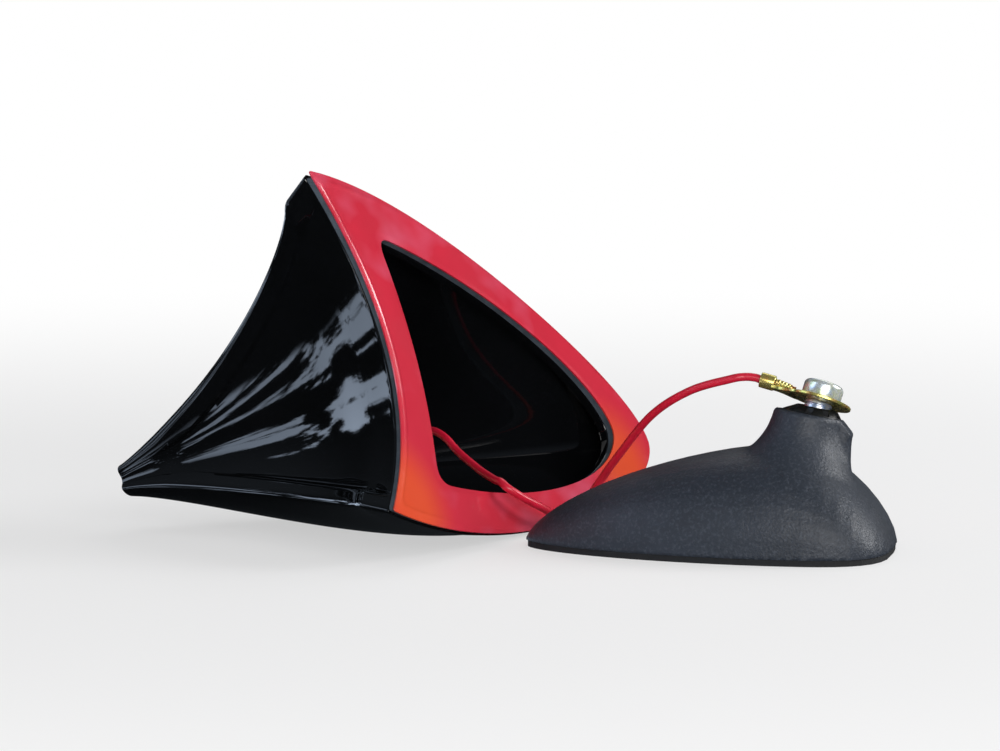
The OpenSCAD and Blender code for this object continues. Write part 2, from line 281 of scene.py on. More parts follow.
@dataclass(frozen=True)
class PolishedShell(Finish):
    """Painted and lacquered ABS, polished to a mirror, with a slow ripple and a few specks of dust."""

    ripple_mm: float = 14.0
    ripple_depth_mm: float = 0.02
    dust_mm: float = 1.1
    dust_limits: Pair = (0.02, 0.06)
    dust_roughness: float = 0.35

    def sheen(self, recipe: Recipe) -> Socket:
        """Gives a mirror sheen that specks of dust break.

        Args:
            recipe: The material being made.

        Returns:
            The roughness.
        """
        scale = {"Scale": scale_for(self.dust_mm)}
        cells = recipe.add("ShaderNodeTexVoronoi", scale, Vector=recipe.place()).outputs["Distance"]
        near, far = self.dust_limits
        limits = {FROM_LOW: near, FROM_HIGH: far, TO_LOW: self.dust_roughness, TO_HIGH: self.roughness}
        return recipe.add("ShaderNodeMapRange", limits, Value=cells).outputs[0]

    def relief(self, recipe: Recipe) -> Socket:
        """Gives the lacquer's slow ripple over its fine orange peel.

        Args:
            recipe: The material being made.

        Returns:
            The normal.
        """
        slow = None
        for size, detail, depth in ((self.ripple_mm, 1, self.ripple_depth_mm),
                                    (self.grain_mm, self.fine_detail, self.relief_mm)):
            under = {"Normal": slow} if slow else {}
            settings = {"Strength": 1, "Distance": depth * MM}
            noise = self.patches(recipe, size, detail)
            slow = recipe.add("ShaderNodeBump", settings, Height=noise, **under).outputs[0]
        return slow


@dataclass(frozen=True)
class ReleaseFilm(Finish):
    """Dyed polyester release film: a clear gloss red that turns orange where it lifts from the foam."""

    warm: str = "#d65028"
    # pale: the pink of a painted reflection, mixed into the film along stretched bands
    pale: str = "#d06480"
    lifts: tuple[tuple[Point, float], ...] = ()
    lift_core: float = 0.25
    lift_share: float = 0.85
    reflection_stripe_mm: float = 16
    reflection_stretch: Point = (0.4, 1, 1.6)
    reflection_limits: Pair = (0.5, 0.8)
    reflection_share: float = 0.6

    def tone(self, recipe: Recipe) -> Socket:
        """Gives the film's red, with its orange lifts and a painted pink reflection in pale, slightly
        stretched bands.

        Args:
            recipe: The material being made.

        Returns:
            The colour.
        """
        colour = Finish.tone(self, recipe)
        # Painted reflection: pale pink bands painted into the red along a stretched noise
        stretch = {"Scale": self.reflection_stretch}
        stretched = recipe.add("ShaderNodeMapping", stretch, Vector=recipe.place()).outputs[0]
        settings = {"Scale": scale_for(self.reflection_stripe_mm), "Detail": self.fine_detail}
        reflection_bands = recipe.add("ShaderNodeTexNoise", settings, Vector=stretched).outputs[0]
        low, high = self.reflection_limits
        limits = {FROM_LOW: low, FROM_HIGH: high, TO_HIGH: self.reflection_share}
        share = recipe.add("ShaderNodeMapRange", limits, Value=reflection_bands).outputs[0]
        colour = self.mixed(recipe, share, colour, linear(self.pale))
        for spot, reach in self.lifts:
            measure = {"operation": "DISTANCE", 1: spot}
            away = recipe.add("ShaderNodeVectorMath", measure, n_0=recipe.place()).outputs["Value"]
            limits = {"interpolation_type": "SMOOTHSTEP", FROM_LOW: reach * self.lift_core,
                      FROM_HIGH: reach, TO_LOW: self.lift_share, TO_HIGH: 0.0}
            share = recipe.add("ShaderNodeMapRange", limits, Value=away).outputs[0]
            colour = self.mixed(recipe, share, colour, linear(self.warm))
        return colour


@dataclass(frozen=True)
class OpenFoam(Finish):
    """Closed-cell foam tape: tiny bubbles that catch the light at the cut edge."""

    cell_mm: float = 0.35

    def relief(self, recipe: Recipe) -> Socket:
        """Gives the relief of the cut cells.

        Args:
            recipe: The material being made.

        Returns:
            The normal.
        """
        scale = {"Scale": scale_for(self.cell_mm)}
        cells = recipe.add("ShaderNodeTexVoronoi", scale, Vector=recipe.place()).outputs["Distance"]
        depth = {"Strength": 1, "Distance": self.relief_mm * MM}
        return recipe.add("ShaderNodeBump", depth, Height=cells).outputs[0]


@dataclass(frozen=True)
class Passivated(Finish):
    """Zinc plate under a chromate film, which gives yellow metal green, pink and blue casts."""

    casts: tuple[str, ...] = ("#b9c27a", "#d9a35f")
    cast_mm: float = 2.2
    cast_share: float = 0.7
    cast_limits: Pair = (0.48, 0.66)

    def tone(self, recipe: Recipe) -> Socket:
        """Gives the plate's colour with a patch of each cast over it.

        Args:
            recipe: The material being made.

        Returns:
            The colour.
        """
        colour = Finish.tone(self, recipe)
        low, high = self.cast_limits
        limits = {FROM_LOW: low, FROM_HIGH: high, TO_HIGH: self.cast_share}
        settings = {"Scale": scale_for(self.cast_mm), "Detail": self.fine_detail}
        for number, cast in enumerate(self.casts):
            shift = {"Location": (number, number, 0)}
            shifted = recipe.add("ShaderNodeMapping", shift, Vector=recipe.place()).outputs[0]
            noise = recipe.add("ShaderNodeTexNoise", settings, Vector=shifted).outputs[0]
            share = recipe.add("ShaderNodeMapRange", limits, Value=noise).outputs[0]
            colour = self.mixed(recipe, share, colour, linear(cast))
        return colour


@dataclass(frozen=True)
class SparkGrain(Finish):
    """ABS moulded against a spark-eroded tool: an even, rounded matt grain with duller hollows."""

    pit_mm: float = 0.75
    pit_depth_mm: float = 0.05
    pit_smoothness: float = 0.6
    grain_detail: float = 3
    # Pale specks painted into the black in a fine noise: painted glints of the grain
    painted_glint: str = "#3d434d"
    painted_glint_limits: Pair = (0.5, 0.78)

    def tone(self, recipe: Recipe) -> Socket:
        """Gives the black, with pale specks painted in as the grain's glints, in a fine noise.

        Args:
            recipe: The material being made.

        Returns:
            The colour.
        """
        # Painted glints: pale specks where a fine noise runs high
        limits = dict(zip((FROM_LOW, FROM_HIGH), self.painted_glint_limits))
        noise = self.patches(recipe, self.pit_mm, self.fine_detail)
        glint_share = recipe.add("ShaderNodeMapRange", limits, Value=noise).outputs[0]
        return self.mixed(recipe, glint_share, Finish.tone(self, recipe), linear(self.painted_glint))

    def relief(self, recipe: Recipe) -> Socket:
        """Gives the grain: rounded pits over a finer noise, drawn a little coarse so that they show.

        Args:
            recipe: The material being made.

        Returns:
            The normal.
        """
        cells = {"Scale": scale_for(self.pit_mm), "feature": "SMOOTH_F1", "Smoothness": self.pit_smoothness}
        pits = recipe.add("ShaderNodeTexVoronoi", cells, Vector=recipe.place()).outputs["Distance"]
        depth = {"Strength": 1, "Distance": self.pit_depth_mm * MM}
        coarse = recipe.add("ShaderNodeBump", depth, Height=pits).outputs[0]
        noise = self.patches(recipe, self.grain_mm, self.grain_detail)
        depth["Distance"] = self.relief_mm * MM
        return recipe.add("ShaderNodeBump", depth, Height=noise, Normal=coarse).outputs[0]


def activate(piece: Piece) -> None:
    """Makes a piece the only selected and the active object.

    Args:
        piece: The piece.
    """
    bpy.ops.object.select_all(action="DESELECT")
    piece.select_set(True)
    bpy.context.view_layer.objects.active = piece


def dress(piece: Piece, material: bpy.types.Material) -> None:
    """Gives a piece its material.

    Args:
        piece: The piece.
        material: Its material.
    """
    piece.data.materials.clear()
    piece.data.materials.append(material)


def shade(piece: Piece, angle: float = 32) -> None:
    """Shades a piece smooth, with sharp edges where it turns by more than the angle in degrees."""
    activate(piece)
    bpy.ops.object.shade_smooth_by_angle(angle=math.radians(angle))


def apply(piece: Piece, kind: str, **settings: object) -> None:
    """Adds a modifier with its settings to a piece and applies it.

    Args:
        piece: The piece.
        kind: The modifier's type.
        settings: The modifier's settings.
    """
    activate(piece)
    modifier = piece.modifiers.new(kind.lower(), kind)
    for key, value in settings.items():
        setattr(modifier, key, value)
    bpy.ops.object.modifier_apply(modifier=modifier.name)


def edit(piece: Piece, *steps: Callable[[], object]) -> None:
    """Runs edit mode operators on a whole piece.

    Args:
        piece: The piece.
        steps: What runs, each on the whole mesh.
    """
    activate(piece)
    bpy.ops.object.mode_set(mode="EDIT")
    for step in steps:
        bpy.ops.mesh.select_all(action="SELECT")
        step()
    bpy.ops.object.mode_set(mode="OBJECT")


def weld() -> None:
    """Merges the selected points that lie on each other."""
    bpy.ops.mesh.remove_doubles(threshold=WELD)


def outward() -> None:
    """Turns the selected faces outwards."""
    bpy.ops.mesh.normals_make_consistent(inside=False)


def close_holes() -> None:
    """Fills every hole of the selected faces."""
    bpy.ops.mesh.fill_holes(sides=0)


def skin(name: str, rings: Sequence[Ring], place: Matrix, angle: float = 32) -> Piece:
    """Lays a grid primitive over a stack of equal rings and closes it.

    Args:
        name: The piece's name.
        rings: The rings in millimetres, each with the same number of points.
        place: The pose that the rings are drawn in.
        angle: The angle above which an edge is shaded sharp, in degrees.

    Returns:
        The closed piece. Its ends have flat caps, unless its last ring lies on its first.
    """
    bpy.ops.object.select_all(action="DESELECT")
    bpy.ops.mesh.primitive_grid_add(x_subdivisions=len(rings[0]), y_subdivisions=len(rings) - 1)
    piece = bpy.context.active_object
    piece.name = piece.data.name = name
    metres = Matrix.Scale(MM, 4) @ place
    points = [value for ring in rings for point in (*ring, ring[0]) for value in metres @ Vector(point)]
    piece.data.vertices.foreach_set("co", points)
    edit(piece, weld, close_holes, outward)
    shade(piece, angle)
    return piece


def turned(name: str, profile: Sequence[Pair], place: Matrix, steps: int = 96) -> Piece:
    """Spins a closed outline about its z axis.

    Args:
        name: The piece's name.
        profile: Radius and height of each point of the outline, in millimetres.
        place: The pose of the axis.
        steps: Steps of the whole turn.

    Returns:
        The turned piece.
    """
    bpy.ops.object.select_all(action="DESELECT")
    bpy.ops.mesh.primitive_circle_add(vertices=len(profile), fill_type="NOTHING")
    piece = bpy.context.active_object
    piece.name = piece.data.name = name
    points = [value for radius, height in profile for value in (radius * MM, 0, height * MM)]
    piece.data.vertices.foreach_set("co", points)

    def spin() -> None:
        """Spins the outline through a whole turn."""
        bpy.ops.mesh.spin(steps=steps, angle=math.tau, center=(0, 0, 0), axis=(0, 0, 1))

    edit(piece, spin, weld, outward)
    metres = place.copy()
    metres.translation = place.translation * MM
    piece.data.transform(metres)
    shade(piece)
    return piece


def block(name: str, size: Sequence[float], place: Matrix) -> Piece:
    """Adds a block of the given size in millimetres in a pose, as a cutter or a part of a joined piece.

    Args:
        name: The block's name.
        size: Its three sides.
        place: The pose of its middle, in millimetres.

    Returns:
        The block.
    """
    bpy.ops.object.select_all(action="DESELECT")
    bpy.ops.mesh.primitive_cube_add(size=1)
    piece = bpy.context.active_object
    piece.name = piece.data.name = name
    stretch = Matrix.Diagonal((size[0], size[1], size[2], 1))
    piece.data.transform(Matrix.Scale(MM, 4) @ place @ stretch)
    return piece


def joined(pieces: Sequence[Piece]) -> Piece:
    """Joins pieces into the first of them.

    Args:
        pieces: The pieces.

    Returns:
        The first piece, with the others in it.
    """
    activate(pieces[0])
    for piece in pieces[1:]:
        piece.select_set(True)
    bpy.ops.object.join()
    return pieces[0]


def cut(piece: Piece, cutters: Sequence[Piece]) -> None:
    """Cuts the cutters out of a piece and deletes them.

    Args:
        piece: The piece.
        cutters: What is cut out of it.
    """
    cutter = joined(cutters)
    apply(piece, "BOOLEAN", operation="DIFFERENCE", object=cutter, solver="EXACT")
    bpy.data.objects.remove(cutter)
    shade(piece)


def copy_of(node: Piece, name: str) -> Piece:
    """Copies a node's mesh into a new piece and merges its loose triangles.

    Args:
        node: The node that is copied.
        name: The new piece's name.

    Returns:
        The new piece.
    """
    piece = bpy.data.objects.new(name, node.data.copy())
    piece.data.name = name
    bpy.context.scene.collection.objects.link(piece)
    edit(piece, weld)
    return piece


def arc(middle: Pair, radius: float, start: float, end: float, steps: int) -> list[Pair]:
    """Gives the points of an arc about a middle, with its angles in degrees."""
    angles = [math.radians(a) for a in spread(start, end, steps + 1)]
    return [(middle[0] + radius * math.cos(a), middle[1] + radius * math.sin(a)) for a in angles]


@dataclass
class Cover:
    """The hollow gloss cover with its foam pad and the pad's release film, in millimetres.

    Its own frame has the foot at height 0, the tip up, the rear edges at x 0 and the nose towards x.
    """

    place: Matrix = field(default_factory=lambda: pose((-30.23, -41.251, 41.831), (-115.4, 15.8, 58.5)))
    length: float = 118
    width: float = 71
    height: float = 65.4
    wall: float = 2.4
    ridge_wall: float = 4.32
    rear_hollow: float = 14.4
    inner_hollow: float = 0.95
    tip_lean: float = 16.8
    tip_length: float = 8.2
    tip_width: float = 4.4
    rim: float = 6
    band_width: float = 2.2
    band_step: float = 0.8
    corner_cut: float = 1.6
    flange: float = 2
    cavity_share: float = 0.8
    opening_rear: float = 20.6
    opening_front: float = 103
    opening_width: float = 52.6
    opening_hollow: float = 4
    opening_cut: float = 5
    foam: float = 1.2
    liner: float = 0.3
    pad_inset: float = 0.65
    film_inset: float = -0.1
    pad_cut: float = 1.0
    side_power: float = 1.47
    side_fall: float = 0.59
    opening_power: float = 1.65
    edge_power: float = 1.23
    ridge_power: float = 0.91
    lean_power: float = 0.73
    lean_share: float = 0.76
    face_power: float = 0.97
    face_blend: float = 1.0
    tip_panel: float = 13
    tip_ramp: float = 5
    foot_bulge: float = 0.07
    tip_bulge: float = 0.5
    side_steps: int = 52
    rear_steps: int = 24
    corner_steps: int = 8
    blend: float = 0.035
    blend_steps: int = 6
    fold: float = 0.8
    edge_round: float = 0.35
    tip_round: float = 0.45
    round_steps: int = 5
    film_steps: int = 26
    film_wave: float = 0.09
    crease_share: float = 0.16
    crease_depth: float = 0.14
    crease_width: float = 0.03
    crease_fade: float = 6
    trim_most: float = 0.3
    band_most: float = 0.35
    bump_gain: float = 6.75
    side_crowd: float = 1.5
    panel_share: float = 0.9
    rim_levels: int = 6
    fold_levels: int = 10
    wall_levels: int = 44
    cavity_levels: int = 26
    foam_dip: float = 0.1
    hole_gap: float = 0.12
    hole_dip: float = 0.08
    film_gap: float = 0.02
    film_bulge: float = 0.03
    waves: tuple[tuple[float, float, float, float], ...] = (
        (1, 0.16, 0.11, 0), (0.6, -0.09, 0.31, 1), (0.4, 0.5, 0, 0))
    lifts: tuple[tuple[Point, float], ...] = (((8, 33, 0), 17), ((103, 8, 0), 17))

    def edge_half(self, z: float) -> float:
        """Gives half the width across the rear edges at a height."""
        grow = (self.width - self.tip_width) / 2 * (1 - z / self.height) ** self.edge_power
        return self.tip_width / 2 + grow

    def raw_edge(self, z: float) -> float:
        """Gives the place of the rear edges at a height, with an unrounded fold.

        Args:
            z: The height.

        Returns:
            The place. Above the rim, the edges fold sharply towards the nose.
        """
        if z <= self.rim:
            return 0.0
        share = min(1.0, (z - self.rim) / (self.lean_share * self.height - self.rim))
        return self.tip_lean * math.sin(math.pi / 2 * share**self.lean_power)

    def edge_at(self, z: float) -> float:
        """Gives the place of the rear edges at a height, with the fold rounded."""
        return sum(self.raw_edge(z + self.fold * t) for t in (-1, -0.5, 0, 0.5, 1)) / 5

    def ridge_at(self, z: float) -> float:
        """Gives the place of the front ridge at a height."""
        foot = self.tip_lean + self.tip_length
        return foot + (self.length - foot) * (1 - z / self.height) ** self.ridge_power

    def step_at(self, z: float) -> float:
        """Gives how far the rear face lies in behind its bands.

        Args:
            z: The height.

        Returns:
            The depth. The face rises from the foot without the bands' fold, and is nearly level with them in
            the panel at the tip.
        """
        share = min(1.0, z / (self.lean_share * self.height)) ** self.face_power
        face = self.tip_lean * math.sin(math.pi / 2 * share) - self.edge_at(z)
        grow = min(1.0, z / self.rim)
        band = self.band_step * grow
        depth = (face + band + math.hypot(face - band, self.face_blend * grow)) / 2
        return depth * (1 - self.panel_share * smooth((z - self.height + self.tip_panel) / self.tip_ramp))

    def hollow_at(self, z: float) -> float:
        """Gives the depth of the rear face's curve at a height."""
        return self.rear_hollow * self.edge_half(z) / self.edge_half(0)

    def bulge_at(self, z: float) -> float:
        """Gives the bulge of the sides at a height, as a share of the half width."""
        return self.foot_bulge + self.tip_bulge * z / self.height

    def section(self, tail: float, nose: float, half: float, hollow: float, cut_off: float, step: float,
                power: float, bulge: float) -> list[Pair]:
        """Draws one closed section of the cover.

        Args:
            tail: Place of the rear corners.
            nose: Place of the nose.
            half: Half the width across the rear corners.
            hollow: Depth of the curve in the rear edge.
            cut_off: Length that the rounding takes off each rear corner.
            step: Depth that the rear edge is set in between its raised bands.
            power: Power of the sides' curve.
            bulge: Bulge of the sides, as a share of the half width.

        Returns:
            The section's points, from one rear corner round the nose and back along the rear edge.
        """
        trim = min(cut_off, self.trim_most * half)
        first, outer = trim / (nose - tail), 1 - trim / half
        inner = outer - min(self.band_width / half, self.band_most * outer)

        def side(s: float, way: int) -> Vector:
            """Gives a point of the left or right side."""
            rise = max(0.0, 1 - s**power) ** self.side_fall + bulge * self.bump_gain * s * (1 - s) ** 2
            return Vector((tail + (nose - tail) * s, way * half * rise))

        def rear(v: float, inset: float = 0.0) -> Vector:
            """Gives a point of the curved rear edge."""
            return Vector((tail + hollow * (1 - v * v) + inset, half * v))

        def bend(start: Vector, way: int, end: Vector, t: float) -> Vector:
            """Gives a point of a rear corner's rounding."""
            return (1 - t) ** 2 * start + 2 * t * (1 - t) * Vector((tail, way * half)) + t * t * end

        turns = spread(0, 1, self.corner_steps + 1)
        shares = [first + (1 - first) * (1 - (1 - t) ** self.side_crowd)
                  for t in spread(0, 1, self.side_steps + 1)]
        middle = inner - self.blend
        slopes = [inner - self.blend * k / self.blend_steps for k in range(self.blend_steps)]
        across = [-v for v in slopes] + spread(-middle, middle, self.rear_steps + 1) + slopes[::-1]
        band = spread(outer, inner, 4)[1:-1]
        points = [bend(rear(outer), 1, side(first, 1), t) for t in turns[:-1]]
        points += [side(s, 1) for s in shares] + [side(s, -1) for s in shares[-2::-1]]
        points += [bend(side(first, -1), -1, rear(-outer), t) for t in turns[1:]]
        points += [rear(-v) for v in band]
        points += [rear(v, step * smooth((inner - abs(v)) / self.blend)) for v in across]
        points += [rear(v) for v in band[::-1]]
        return [(p.x, p.y) for p in points]

    def outer_ring(self, z: float, inset: float = 0.0) -> Ring:
        """Draws the outer section at a height, drawn in by an inset.

        Args:
            z: The height.
            inset: How far it is drawn in.

        Returns:
            The ring.
        """
        return [(x, y, z) for x, y in self.section(
            self.edge_at(z) + inset, self.ridge_at(z) - inset, self.edge_half(z) - inset, self.hollow_at(z),
            self.corner_cut, self.step_at(z), self.side_power, self.bulge_at(z))]

    def inner_ring(self, z: float) -> Ring:
        """Draws the cavity's section at a height.

        Args:
            z: The height.

        Returns:
            The ring, a wall inside the outer section.
        """
        return [(x, y, z) for x, y in self.section(
            self.edge_at(z) + self.wall + self.step_at(z), self.ridge_at(z) - self.ridge_wall,
            self.edge_half(z) - self.wall, self.hollow_at(z) * self.inner_hollow, self.corner_cut, 0,
            self.side_power, self.bulge_at(z))]

    def opening_ring(self, z: float, inset: float = 0.0) -> Ring:
        """Draws the opening's section, made wider by an inset.

        Args:
            z: The height.
            inset: How much wider the opening is made.

        Returns:
            The ring.
        """
        return [(x, y, z) for x, y in self.section(
            self.opening_rear - inset, self.opening_front + inset, self.opening_width / 2 + inset,
            self.opening_hollow, self.opening_cut, 0, self.opening_power, 0)]

    def pad_ring(self, z: float, inset: float) -> Ring:
        """Draws the pad's outline, drawn in from the cover's edge by an inset.

        Args:
            z: The height.
            inset: How far it lies in from the cover's edge.

        Returns:
            The ring.
        """
        return [(x, y, z) for x, y in self.section(
            inset, self.length - inset, self.width / 2 - inset, self.rear_hollow, self.pad_cut, 0,
            self.side_power, self.foot_bulge)]

    def shell(self) -> Piece:
        """Models the hollow shell with its flange, rounded edges and blunt tip.

        Returns:
            The shell, as one skin from the cavity's end through the opening and over the outside to the tip.
        """
        turn = spread(0, math.pi / 2, self.round_steps + 1)
        rounding = [(self.edge_round * (1 - math.sin(a)), self.edge_round * (1 - math.cos(a))) for a in turn]
        top = self.height - self.tip_round
        heights = spread(self.edge_round, self.rim - 2 * self.fold, self.rim_levels)
        heights += spread(self.rim - 1.5 * self.fold, self.rim + 3 * self.fold, self.fold_levels)
        heights += spread(self.rim + 5 * self.fold, top, self.wall_levels)
        cavity = spread(self.height * self.cavity_share, self.flange, self.cavity_levels)
        rings = [self.inner_ring(z) for z in cavity]
        rings += [self.opening_ring(self.flange - self.edge_round + rise, rise) for rise, _ in rounding]
        rings += [self.opening_ring(rise, inset) for rise, inset in rounding]
        # The foot runs out to the outline here and folds back, by a hair, to where its rounding starts
        lip = rounding[-2][0]
        rings.append(self.outer_ring(lip, lip))
        rings += [self.outer_ring(rise, inset) for rise, inset in rounding[::-1]]
        rings += [self.outer_ring(z) for z in heights[1:]]
        rings += [self.outer_ring(top + self.tip_round * math.sin(a), self.tip_round * (1 - math.cos(a)))
                  for a in turn[1:]]
        return skin("cover_shell", rings, self.place)

    def pad(self) -> Piece:
        """Models the foam frame that sticks the cover to the roof.

        Returns:
            The frame, with its cut edges drawn in a little at half their height.
        """
        edge, levels = self.pad_inset, (0, -self.foam / 2, -self.foam)
        rings = [self.pad_ring(z, edge + dip) for z, dip in zip(levels, (0, self.foam_dip, 0))]
        rings += [self.opening_ring(z, self.hole_gap + dip)
                  for z, dip in zip(levels[::-1], (0, self.hole_dip, 0))]
        return skin("foam_frame", rings + [self.pad_ring(0, edge)], self.place)

    def film_point(self, outer: Point, inner: Point, share: float) -> Point:
        """Places a point of the film's face, with its slow waves and the crease along its rear edge.

        Args:
            outer: The point of the outline.
            inner: The point of the opening beside it.
            share: How far it lies from the outline towards the opening.

        Returns:
            The point. The waves die away at both edges.
        """
        x, y = (a + (b - a) * share for a, b in zip(outer[:2], inner[:2]))
        wave = sum(gain * math.sin(along * x + across * y + phase)
                   for gain, along, across, phase in self.waves)
        edge = smooth(min(share, 1 - share) * 8)
        rear = smooth((self.rear_hollow + self.crease_fade - outer[0]) / self.crease_fade)
        ridge = math.exp(-(((share - self.crease_share) / self.crease_width) ** 2))
        crease = self.crease_depth * rear * ridge
        return (x, y, -self.foam - self.liner - edge * self.film_wave * (1 + wave / 2) - crease)

    def film(self) -> Piece:
        """Models the release film.

        Returns:
            The film, which lies in slow waves over the foam.
        """
        back, middle, edge = -self.foam - self.film_gap, -self.foam - self.liner / 2, self.film_inset
        outer, inner = self.pad_ring(0, edge), self.opening_ring(0)
        rings = [self.pad_ring(back, edge), self.pad_ring(middle, edge - self.film_bulge)]
        rings += [[self.film_point(a, b, share) for a, b in zip(outer, inner)]
                  for share in spread(0, 1, self.film_steps)]
        rings += [self.opening_ring(back), self.pad_ring(back, edge)]
        return skin("release_film", rings, self.place, 40)

    def build(self) -> None:
        """Builds and dresses the cover and its pad."""
        shell, pad, film = self.shell(), self.pad(), self.film()
        # Lacquer polished to a mirror, so the eye sees the surroundings more than the black
        lacquer = PolishedShell("polished black lacquer", "#060708", "#090a0c", 0.045, patch_mm=30,
                                grain_mm=1.6, relief_mm=0.0025, settings={"IOR": 1.5})
        dress(shell, lacquer.make())
        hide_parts("fin_shell")
        # Cut foam, dull and dark, which draws a thin grey line round the film
        foam = OpenFoam("foam tape", "#4b5661", "#39434c", 0.75, patch_mm=4, relief_mm=0.08)
        dress(pad, foam.make())
        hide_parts("foam_pad")
        # Dyed film over foam, a glowing red that turns orange at two corners, with painted pink reflections
        # in pale bands
        lifts = tuple((tuple(self.place @ Vector(spot) * MM), reach * MM) for spot, reach in self.lifts)
        gloss = {"IOR": 1.55, "Coat Weight": 0.4, "Coat Roughness": 0.08}
        red = ReleaseFilm("red release film", "#c62c3f", "#bd2639", 0.2, patch_mm=22, grain_mm=5,
                          relief_mm=0.02, sheen_spread=0.1, settings=gloss, lifts=lifts)
        dress(film, red.make())
        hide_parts("pad_liner")
        for piece in (shell, pad, film):
            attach(piece, BODY)
            LOG.info("made %s", piece.name)


# The wire's route in metres, from the terminal down behind the base's nose and up into the cover
ROUTE = (
    (0.0497, -0.0302, 0.0333), (0.0487, -0.03, 0.0336), (0.0467, -0.0297, 0.0337),
    (0.0439, -0.0293, 0.0332), (0.0363, -0.0255, 0.0305), (0.0291, -0.019, 0.025),
    (0.0227, -0.0115, 0.016), (0.0186, -0.007, 0.0095), (0.0171, -0.0057, 0.0071),
    (0.0143, -0.0055, 0.0045), (0.0117, -0.0075, 0.0038), (0.0097, -0.0105, 0.0045),
    (0.0079, -0.0133, 0.0059), (0.0058, -0.0157, 0.0073), (0.0038, -0.0174, 0.0086),
    (0.0021, -0.0184, 0.0098), (0.0008, -0.0185, 0.0107), (-0.0004, -0.0173, 0.0116),
    (-0.0018, -0.0146, 0.0118), (-0.0046, -0.0073, 0.0127), (-0.0086, 0.0016, 0.0149),
    (-0.0116, 0.0063, 0.0175), (-0.0144, 0.0102, 0.0183), (-0.0159, 0.0119, 0.0159),
    (-0.0185, 0.0128, 0.0149), (-0.0204, 0.0137, 0.0143),
)


@dataclass
class Lead:
    """The single insulated wire from the ring terminal into the cover."""

    diameter: float = 0.0016
    samples: int = 24

    def control(self, number: int) -> Vector:
        """Gives a point of the route, with the ends repeated."""
        return Vector(ROUTE[max(0, min(len(ROUTE) - 1, number))])

    def length(self) -> float:
        """Measures the route's smooth curve.

        Returns:
            Its length in metres.
        """
        total = 0.0
        for k in range(len(ROUTE) - 1):
            a, b, c, d = (self.control(k + j) for j in (-1, 0, 1, 2))
            last = b
            for t in spread(0, 1, self.samples + 1)[1:]:
                here = 0.5 * (2 * b + (c - a) * t + (2 * a - 5 * b + 4 * c - d) * t * t
                              + (3 * b - a - 3 * c + d) * t**3)
                total += (here - last).length
                last = here
        return total

    def build(self) -> None:
        """Builds the wire as one open curve through the route's points."""
        data = bpy.data.curves.new("red_wire", "CURVE")
        data.dimensions = "3D"
        data.bevel_depth = self.diameter / 2
        data.bevel_resolution = 5
        data.resolution_u = 10
        data.use_fill_caps = True
        line = data.splines.new("BEZIER")
        line.bezier_points.add(len(ROUTE) - 1)
        for k, knot in enumerate(line.bezier_points):
            reach = (self.control(k + 1) - self.control(k - 1)) / 6
            knot.co = self.control(k)
            knot.handle_left = self.control(k) - reach
            knot.handle_right = self.control(k) + reach
        wire = bpy.data.objects.new("red_wire", data)
        bpy.context.scene.collection.objects.link(wire)
        # Extruded vinyl, a satin red with faint lengthwise drift
        vinyl = Finish("extruded vinyl insulation", "#d41838", "#c11430", 0.34, patch_mm=3, grain_mm=0.9,
                       relief_mm=0.012, settings={"IOR": 1.53, "Subsurface Weight": 0.05})
        dress(wire, vinyl.make())
        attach(wire, BODY)
        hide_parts("aerial_wire")
        self.length()
        LOG.info("made red_wire, %.1f mm long", self.length() / MM)


